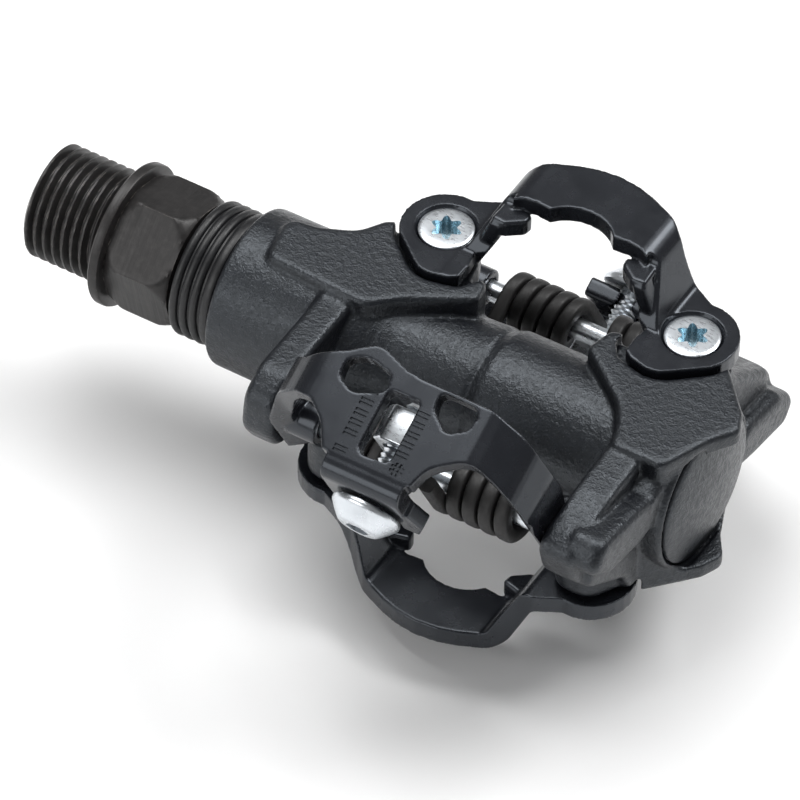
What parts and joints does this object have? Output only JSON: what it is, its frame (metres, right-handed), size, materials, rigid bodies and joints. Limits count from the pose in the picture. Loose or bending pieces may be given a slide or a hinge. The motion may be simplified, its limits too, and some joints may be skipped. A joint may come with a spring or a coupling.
{
  "type": "clipless pedal",
  "caption": "Double-sided clipless bicycle pedal: a hub on a threaded axle, with a fixed front bail and a sprung rear jaw on each face.",
  "frame": {"origin": "on the spindle axis, at the middle of the overall length", "axes": "+X along the spindle away from the crank, +Z out of the top cleat face, +Y from the top jaw to the top bail"},
  "size_m": [0.0934, 0.0692, 0.0458],
  "materials": {
    "body": "textured charcoal powder coat",
    "steel": "dark phosphate over turned steel",
    "gloss": "smooth satin-gloss black electrophoretic coat",
    "zinc": "bright zinc plate",
    "spring": "matte black oxide",
    "rubber": "matte",
    "bearing": "ground steel",
    "bronze": "plain bearing bronze"
  },
  "bodies": {
    "axle": {"spindle": "steel", "bearing_inner_race": "bearing", "lock_washer": "bearing", "lock_nut": "bearing"},
    "cage": {"ball_cage": "bearing"},
    "pedal": {"pedal_body": "body", "inner_bush": "bronze", "axle_seal": "rubber", "bearing_outer_race": "bearing", "end_cap": "body", "front_bail_top": "gloss", "front_bail_bottom": "gloss", "bail_screw_outer_top": "zinc", "bail_screw_outer_bottom": "zinc", "bail_screw_inner_top": "zinc", "bail_screw_inner_bottom": "zinc", "pivot_pin_top": "zinc", "pivot_pin_bottom": "zinc"},
    "jaw_top": {"rear_jaw_top": "gloss", "torsion_spring_inner_top": "spring", "torsion_spring_outer_top": "spring"},
    "jaw_bottom": {"rear_jaw_bottom": "gloss", "torsion_spring_inner_bottom": "spring", "torsion_spring_outer_bottom": "spring"},
    "screw_top": {"tension_screw_top": "zinc"},
    "screw_bottom": {"tension_screw_bottom": "zinc"},
    "nut_top": {"tension_nut_top": "zinc"},
    "nut_bottom": {"tension_nut_bottom": "zinc"}
  },
  "joints": [
    {"name": "pedal_spin", "type": "hinge", "parent": "axle", "child": "pedal", "pos_m": [0, 0, 0], "axis": [1, 0, 0], "continuous": true},
    {"name": "cage_spin", "type": "hinge", "parent": "axle", "child": "cage", "pos_m": [0.0368, 0, 0], "axis": [1, 0, 0], "continuous": true},
    {"name": "jaw_top_hinge", "type": "hinge", "parent": "pedal", "child": "jaw_top", "pos_m": [0.0167, -0.019, 0.005], "axis": [1, 0, 0], "range_deg": [0, 18]},
    {"name": "tension_top_turn", "type": "hinge", "parent": "jaw_top", "child": "screw_top", "pos_m": [0.0163, -0.03108, 0.00938], "axis": [0, -0.8805, -0.4741], "range_deg": [0, 1440]},
    {"name": "tension_nut_top_slide", "type": "slide", "parent": "jaw_top", "child": "nut_top", "axis": [0, -0.8805, -0.4741], "range_m": [-0.0029, 0]},
    {"name": "jaw_bottom_hinge", "type": "hinge", "parent": "pedal", "child": "jaw_bottom", "pos_m": [0.0167, 0.019, -0.005], "axis": [1, 0, 0], "range_deg": [0, 18]},
    {"name": "tension_bottom_turn", "type": "hinge", "parent": "jaw_bottom", "child": "screw_bottom", "pos_m": [0.0163, 0.03108, -0.00938], "axis": [0, 0.8805, 0.4741], "range_deg": [0, 1440]},
    {"name": "tension_nut_bottom_slide", "type": "slide", "parent": "jaw_bottom", "child": "nut_bottom", "axis": [0, 0.8805, 0.4741], "range_m": [-0.0029, 0]}
  ],
  "couplings": [
    {"joint": "cage_spin", "follows": "pedal_spin", "ratio": 0.556},
    {"joint": "tension_nut_top_slide", "follows": "tension_top_turn", "m_per_rad": -0.00011141},
    {"joint": "tension_nut_bottom_slide", "follows": "tension_bottom_turn", "m_per_rad": -0.00011141}
  ]
}
